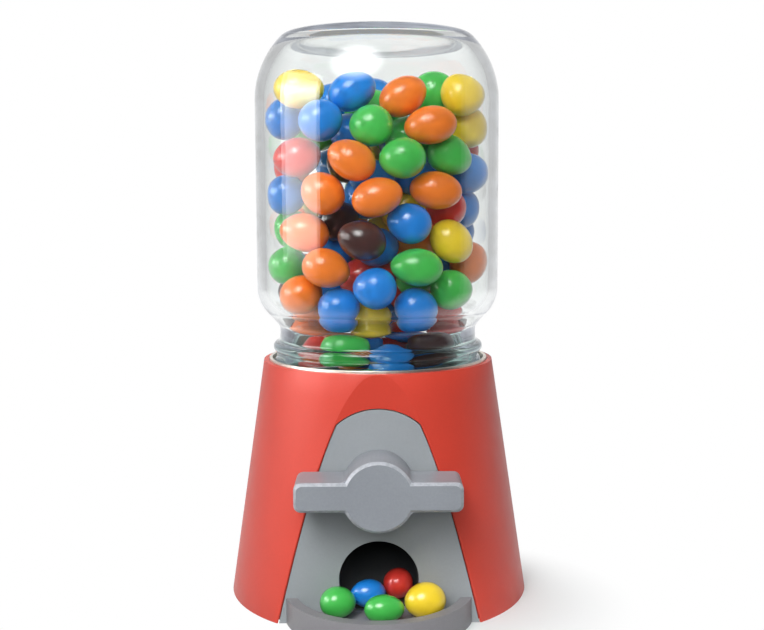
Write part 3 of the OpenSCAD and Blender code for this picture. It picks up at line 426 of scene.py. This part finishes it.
def jar_inside():
    return (
        arc(FINISH_R - LIP_W, LIP_Z + LIP_ROUND, LIP_ROUND, 270, 200, 5)
        + [(MOUTH_R, LIP_Z + LIP_SLOPE), (MOUTH_R, NECK_TOP - 6), (MOUTH_R, NECK_TOP)]
        + arc(SHOULDER_X, SHOULDER_Z, SHOULDER_R - GLASS, -SHOULDER_SWEEP, 0, 14)
        + upright(JAR_R - GLASS, SHOULDER_Z, HEEL_Z, 8, 1, 7)
        + arc(HEEL_X, HEEL_Z, INNER_HEEL_R, 0, INNER_SWEEP, 14)
        + arc(INNER_TOE_X, INNER_TOE_Z, INNER_TOE_R, INNER_SWEEP + 6, 90, 10)
        + [(INNER_TOE_X * 0.5, INNER_TOE_Z + INNER_TOE_R - 0.3)]
    )


LUGS = 6
LUG_HEIGHT = 1.5
LUG_SPAN = 46                  # degrees of the jar's round that a lug covers
LUG_LEAD = 27                  # height gained in a full turn, in mm
LUG_START = 19                 # degrees from the front to the first lug's low end
LUG_Z = LIP_Z + 5.2            # height of a lug's low end
LUG_HALF = 1.15                # half of a lug's width
LUG_RISE, LUG_FALL = 1.2, 5    # degrees in which a lug's low end rises and its high end falls


def lug(angle, z):
    """How far the screw lugs raise the finish at an angle in degrees and a height."""
    along = (angle - LUG_START) % (360 / LUGS)
    middle = LUG_Z + LUG_LEAD * along / 360
    across = max(0.0, 1 - ((z - middle) / LUG_HALF) ** 4)
    low_end = min(1.0, along / LUG_RISE)
    high_end = min(1.0, max(0.0, (LUG_SPAN - along) / LUG_FALL))
    return LUG_HEIGHT * across * low_end * high_end


def ring_faces(rings, steps):
    """Quads between rings of as many points, each ring closed on itself."""
    faces = []
    for i in range(rings - 1):
        here, there = i * steps, (i + 1) * steps
        for k in range(steps):
            n = (k + 1) % steps
            faces.append((here + k, there + k, there + n, here + n))
    return faces


def lathe_jar(name, outside, inside, steps):
    """The jar as a closed round solid, from an outer and an inner profile that meet at
    the lip and end at the axis, with the lugs on its finish."""
    rings = outside[::-1] + inside
    vertices = []
    for i, (r, z) in enumerate(rings):
        on_finish = i < len(outside) and abs(r - FINISH_R) < 0.01
        for k in range(steps):
            angle = 360 * k / steps
            reach = (r + lug(angle, z) if on_finish else r) * MM
            turn = math.radians(angle)
            vertices.append((reach * math.sin(turn), -reach * math.cos(turn), z * MM))
    faces = ring_faces(len(rings), steps)
    for ring, flip in ((0, False), (len(rings) - 1, True)):
        centre = len(vertices)
        vertices.append((0, 0, rings[ring][1] * MM))
        for k in range(steps):
            a, b = ring * steps + k, ring * steps + (k + 1) % steps
            faces.append((centre, b, a) if flip else (centre, a, b))
    return new_object(name, vertices, faces)


JAR_STEPS = 240
jar = lathe_jar("glass_jar", jar_outside(), jar_inside(), JAR_STEPS)
jar.data.materials.append(glass)
seat(jar, "jar", "jar")


# ---- candies ---------------------------------------------------------------
SAME_POINT = 1e7        # points are one where they agree to a part of a metre this fine
POINT_DIGITS = 8        # decimals of a metre kept in a solid's points
ORDER_DIGITS = 5        # and in the middles by which the solids are put in order


def islands(obj):
    """The separate solids in a CAD node, each as an array of its points. Points are
    welded by place, faces join what they share, and the solids are put in order of X."""
    mesh = obj.data
    welded = {}
    ids = []
    for v in mesh.vertices:
        key = tuple(round(c * SAME_POINT) for c in v.co)
        ids.append(welded.setdefault(key, len(welded)))
    parent = list(range(len(welded)))

    def root(i):
        while parent[i] != i:
            parent[i] = parent[parent[i]]
            i = parent[i]
        return i

    for p in mesh.polygons:
        first = root(ids[p.vertices[0]])
        for v in p.vertices[1:]:
            parent[root(ids[v])] = first
    groups = {}
    for v in mesh.vertices:
        groups.setdefault(root(ids[v.index]), []).append(v.co[:])
    found = [np.unique(np.round(np.array(g), POINT_DIGITS), axis=0) for g in groups.values()]
    return sorted(found, key=lambda g: tuple(np.round(g.mean(0), ORDER_DIGITS)))


def candy_frame(points):
    """Centre, long axis, long radius and short radius of a candy's solid."""
    centre = (points.max(0) + points.min(0)) / 2
    spread = points - centre
    distance = np.linalg.norm(spread, axis=1)
    axis = spread[distance.argmax()]
    axis = axis / np.linalg.norm(axis)
    along = np.abs(spread @ axis).max()
    across = np.linalg.norm(spread - np.outer(spread @ axis, axis), axis=1).max()
    return centre, axis, along, across


RINGS, SEGMENTS = 22, 32
SLIM, SHORT = 0.988, 0.985      # keep a lumpy candy inside its solid's width and length
EGGINESS = (0.02, 0.09)         # how much thicker one end is
LUMPS = 3
LUMP_WAVES = (0.5, 2.6)         # how often a lump swells from end to end
LUMP_HEIGHT = (0.004, 0.011)    # as a part of the candy's radius
# where candies count as inside the heap, in mm: within a radius, behind a y, above a z
CORE_R, CORE_FRONT, CORE_Z = 30, -12, LIP_Z + 28
CORE_GROWTH = 1.2


def in_core(centre):
    """Whether a candy lies inside the heap."""
    x, y, z = (c / MM for c in centre)
    return math.hypot(x, y) < CORE_R and y > CORE_FRONT and z > CORE_Z


def egg(centre, axis, along, across, rng, vertices, faces):
    """Adds one candy: an egg with a thicker end and a few low lumps. Inside the heap it
    is a little bigger, so that little light comes through between the candies."""
    if in_core(centre):
        along, across = along * CORE_GROWTH, across * CORE_GROWTH
    axis = Vector(axis) * rng.choice((-1, 1))
    side = axis.orthogonal().normalized()
    other = axis.cross(side)
    egginess = rng.uniform(*EGGINESS)
    lumps = [(rng.uniform(0, math.tau), rng.uniform(*LUMP_WAVES), rng.uniform(*LUMP_HEIGHT))
             for _ in range(LUMPS)]
    start = len(vertices)
    for i in range(RINGS + 1):
        tilt = math.pi * i / RINGS
        t, r = math.cos(tilt), math.sin(tilt)
        taper = 1 - egginess * t - 0.5 * egginess * t * t
        for k in range(SEGMENTS if 0 < i < RINGS else 1):
            turn = math.tau * k / SEGMENTS
            swell = sum(height * math.cos((n + 1) * turn + phase) * r * math.cos(tilt * waves)
                        for n, (phase, waves, height) in enumerate(lumps))
            out = side * math.cos(turn) + other * math.sin(turn)
            wide = across * r * taper * (SLIM + swell)
            vertices.append(Vector(centre) + axis * (along * SHORT * t) + out * wide)
    first = start + 1
    last = len(vertices) - 1

    def index(i, k):
        """The vertex at a ring and a segment; the ends are single points."""
        if i == 0:
            return start
        return last if i == RINGS else first + (i - 1) * SEGMENTS + k % SEGMENTS

    for i in range(RINGS):
        for k in range(SEGMENTS):
            corners = (index(i, k), index(i + 1, k), index(i + 1, k + 1), index(i, k + 1))
            faces.append(tuple(dict.fromkeys(corners)))


def make_candies(node, colours, body, seed):
    """Replaces a node's candies; colours holds one colour for all, or one for each solid."""
    rng = random.Random(seed)
    solids = islands(nodes[node])
    names = colours if len(colours) > 1 else colours * len(solids)
    used = list(dict.fromkeys(names))
    vertices, faces, slots = [], [], []
    for solid, name in zip(solids, names):
        egg(*candy_frame(solid), rng, vertices, faces)
        slots += [used.index(name)] * (len(faces) - len(slots))
    obj = new_object("sweets_" + node, vertices, faces)
    for name in used:
        obj.data.materials.append(candy_materials[name])
    obj.data.polygons.foreach_set("material_index", slots)
    seat(obj, body, node)


for number, colour in enumerate(CANDY):
    make_candies("candies_" + colour, [colour], "contents", 100 + number)
make_candies("pocket_candies", ["orange", "blue"], "knob", 7)
# from left to right in the tray
make_candies("tray_candies", ["green", "blue", "green", "red", "yellow"], "base", 8)


# ---- stage -----------------------------------------------------------------
PHOTO_W = 764          # the picture's width in pixels
FOCAL_PX = 1112.3      # focal length in those pixels
AXIS_PX = 377.7        # how far from the left the jar's axis stands in the picture
CAMERA_BACK = 0.4413   # from the jar's axis
CAMERA_UP = 0.1558
TILT_DOWN = 6.01       # degrees
ROLL = 0.23            # degrees
SENSOR = 36.0

camera_data = bpy.data.cameras.new("camera")
camera_data.sensor_width = SENSOR
camera_data.lens = FOCAL_PX * SENSOR / PHOTO_W
camera_data.clip_start = 0.01
camera = bpy.data.objects.new("camera", camera_data)
yaw = math.atan((PHOTO_W / 2 - AXIS_PX) / FOCAL_PX)
camera.matrix_world = (
    Matrix.Translation((0, -CAMERA_BACK, CAMERA_UP))
    @ Matrix.Rotation(-yaw, 4, "Z")
    @ Matrix.Rotation(math.radians(90 - TILT_DOWN), 4, "X")
    @ Matrix.Rotation(math.radians(-ROLL), 4, "Z")
)
bpy.context.scene.collection.objects.link(camera)
bpy.context.scene.camera = camera


# the white room, where 1 is white and places are metres from the jar's axis
AMBIENT = 0.32                 # what it gives as light
ROOM_FRONT = 0.10              # how white its front looks in reflections
ROOM_EDGE = (-0.13, -0.05)     # y at which they go from that to white
ROOM_SIDE = 0.58               # how white its sides look in them
SIDE_EDGE = (0.25, 1.3)        # x at which they go from white to that


def room_white(m, path):
    """How white the room looks along a ray. It is 1 where white is seen directly, less
    in reflections and through glass, where the room is darker in front of the object and
    at its sides, and AMBIENT where it gives light. Also gives whether the ray is a
    reflection or has come through glass, and the darkening in front by itself."""
    place = m.split(m.coords)
    front = m.smooth(place["Y"], *ROOM_EDGE, ROOM_FRONT, 1.0)
    side = m.smooth(m.maths("ABSOLUTE", place["X"]), *SIDE_EDGE, 1.0, ROOM_SIDE)
    lighting = m.maths("GREATER_THAN", path["Diffuse Depth"], 0.5)
    through = m.maths("MAXIMUM", path["Is Glossy Ray"], path["Is Transmission Ray"])
    through = m.product(through, m.maths("SUBTRACT", 1.0, lighting))
    seen = m.maths("MAXIMUM", m.product(through, front, side), m.product(lighting, AMBIENT))
    return m.maths("MAXIMUM", path["Is Camera Ray"], seen), through, front


# the paper near the object, which shows its shadow and the red that the base throws on it
PAPER = (0.80, 0.845, 0.845, 1)    # less red than green and blue, against that red
PAPER_LIFT = 0.02                  # a faint light of its own
SHADOW_AT = (0.03, -0.02, 0.0)     # the middle of that paper
SHADOW_FADE = (0.020, 0.072)       # metres from there between which it fades into plain white
HIDDEN_FADE = (0.3, 1.0)           # room_white's front between which reflections show the paper


def paper(name):
    """White paper that shows the object's shadow close by and is plain white further
    off, as well as in reflections of what lies in front of the object."""
    m = Nodes(name)
    path = m.add("ShaderNodeLightPath").outputs
    white, through, front = room_white(m, path)
    glow = m.add("ShaderNodeEmission")
    m.link(white, glow.inputs["Strength"])
    sheet = m.add("ShaderNodeBsdfDiffuse", Color=PAPER)
    lift = m.add("ShaderNodeEmission")
    m.link(m.product(white, PAPER_LIFT), lift.inputs["Strength"])
    near = m.add("ShaderNodeAddShader")
    m.link(sheet.outputs["BSDF"], near.inputs[0])
    m.link(lift.outputs["Emission"], near.inputs[1])
    shifted = m.add("ShaderNodeVectorMath", operation="SUBTRACT")
    m.link(m.coords, shifted.inputs[0])
    shifted.inputs[1].default_value = SHADOW_AT
    far = m.smooth(m.length(shifted.outputs["Vector"]), *SHADOW_FADE)
    hidden = m.product(through, m.smooth(front, *HIDDEN_FADE, 1.0, 0.0))
    plain = m.maths("MAXIMUM", far, hidden)
    return m.surface(m.mix_shaders(plain, near.outputs["Shader"], glow.outputs["Emission"]))


FLOOR_R = 1.6                       # how far the floor is level
LEVEL_RINGS = (0.4, 0.9, FLOOR_R)
COVE_R = 0.9                        # the round between floor and backdrop
COVE_DEGREES = range(15, 91, 15)
BACKDROP_TOP = 2.4
FLOOR_STEPS = 64


def floor():
    """A level floor that curves up into a backdrop on every side."""
    turns = [math.radians(degrees) for degrees in COVE_DEGREES]
    cove = [(FLOOR_R + COVE_R * math.sin(a), COVE_R - COVE_R * math.cos(a)) for a in turns]
    rings = [(r, 0.0) for r in LEVEL_RINGS] + cove + [(FLOOR_R + COVE_R, BACKDROP_TOP)]
    vertices = [(r * math.cos(math.tau * k / FLOOR_STEPS), r * math.sin(math.tau * k / FLOOR_STEPS), z)
                for r, z in rings for k in range(FLOOR_STEPS)]
    faces = [(len(vertices), k, (k + 1) % FLOOR_STEPS) for k in range(FLOOR_STEPS)]
    vertices.append((0, 0, 0))
    obj = new_object("floor", vertices, faces + ring_faces(len(rings), FLOOR_STEPS))
    obj.data.materials.append(paper("paper"))


floor()


# ---- lights ----------------------------------------------------------------
MIDDLE = Vector((0, 0, 0.11))    # where every light aims


def aimed(obj, place, front):
    """Puts a light at a place with its front towards the object's middle."""
    obj.location = place
    obj.rotation_euler = (MIDDLE - Vector(place)).to_track_quat(front, "Y").to_euler()
    return obj


def panel_light(name, place, size, strength):
    """A lit panel with a soft edge or a gradient, which strength(m) gives from the
    panel's own coordinates."""
    wide, high = size[0] / 2, size[1] / 2
    corners = [(-wide, -high, 0), (wide, -high, 0), (wide, high, 0), (-wide, high, 0)]
    obj = aimed(new_object(name, corners, [(0, 1, 2, 3)], smooth=False), place, "Z")
    m = Nodes(name)
    light = m.add("ShaderNodeEmission")
    m.link(strength(m), light.inputs["Strength"])
    obj.data.materials.append(m.surface(light.outputs["Emission"]))
    obj.visible_camera = False
    return obj


# the softbox at the left, which shows as a tall band in the jar; it brightens, swells and
# dims again between heights on its panel
SOFTBOX_AT, SOFTBOX_SIZE = (-0.62, -0.16, 0.27), (0.50, 0.40)
SOFTBOX_RISE, SOFTBOX_GLOW = (-0.19, -0.155), (0.5, 3.9)
SOFTBOX_SWELL, SOFTBOX_PEAK = (-0.04, 0.01), 2.8
SOFTBOX_FALL, SOFTBOX_TOP = (0.0, 0.15), 0.3
# the key light, brightest in its middle
KEY_AT, KEY_SIZE, KEY_GLOW = (-0.40, -0.98, 1.10), 1.4, 14.5
# the fill light, which glass and gloss don't show
FILL_AT, FILL_SIZE, FILL_WATTS = (-0.1, -1.4, 0.75), (0.9, 0.6), 7.0


def softbox_glow(m):
    """A panel's own Y runs up it."""
    up = m.split(m.coords)["Y"]
    low = m.smooth(up, *SOFTBOX_RISE, *SOFTBOX_GLOW)
    middle = m.smooth(up, *SOFTBOX_SWELL, 1.0, SOFTBOX_PEAK)
    top = m.smooth(up, *SOFTBOX_FALL, 1.0, SOFTBOX_TOP)
    return m.product(low, middle, top)


def key_glow(m):
    return m.smooth(m.length(m.coords), 0.0, KEY_SIZE / 2, KEY_GLOW, 0.0)


softbox = panel_light("softbox", SOFTBOX_AT, SOFTBOX_SIZE, softbox_glow)
softbox.visible_diffuse = False
panel_light("key", KEY_AT, (KEY_SIZE, KEY_SIZE), key_glow)

fill_data = bpy.data.lights.new("fill", "AREA")
fill_data.shape = "RECTANGLE"
fill_data.size, fill_data.size_y = FILL_SIZE
fill_data.energy = FILL_WATTS
fill = aimed(bpy.data.objects.new("fill", fill_data), FILL_AT, "-Z")
fill.visible_glossy = False
fill.visible_transmission = False
bpy.context.scene.collection.objects.link(fill)

world = bpy.data.worlds.new("world")
bpy.context.scene.world = world
world.use_nodes = True
world.node_tree.nodes["Background"].inputs["Color"].default_value = (1, 1, 1, 1)
world.node_tree.nodes["Background"].inputs["Strength"].default_value = AMBIENT
bpy.context.scene.view_settings.view_transform = "Standard"
